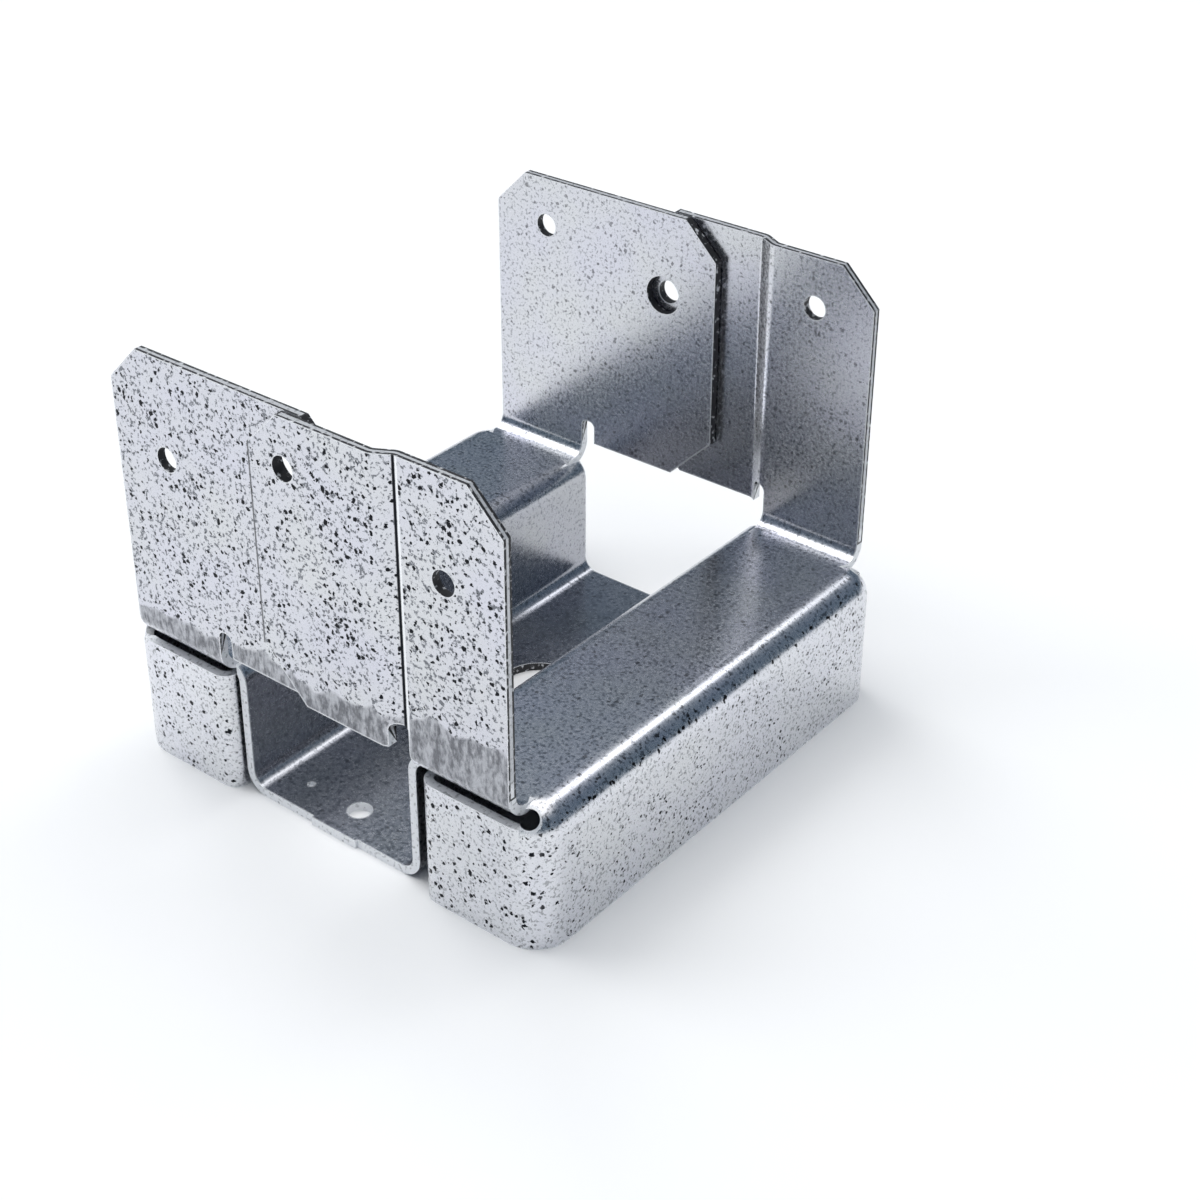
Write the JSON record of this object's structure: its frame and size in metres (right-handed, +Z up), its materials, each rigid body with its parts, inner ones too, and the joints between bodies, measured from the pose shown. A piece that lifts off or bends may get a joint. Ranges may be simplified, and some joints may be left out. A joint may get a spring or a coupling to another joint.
{
  "type": "post base",
  "caption": "Standoff post base folded from one sheet: overlapping uprights front and rear, two raised seats beside a tray with an anchor slot, outer walls with curled return flanges.",
  "frame": {"origin": "middle of the base on the floor, under the middle of the anchor slot", "axes": "+X along the uprights to the side whose uprights lie outside, -Y to the front, +Z up"},
  "size_m": [0.0898, 0.097, 0.078],
  "materials": {
    "galvanised_sheet": "galvanised, finely speckled, with bright sheared edges"
  },
  "bodies": {
    "root": {"post_base": "galvanised_sheet"}
  },
  "joints": []
}
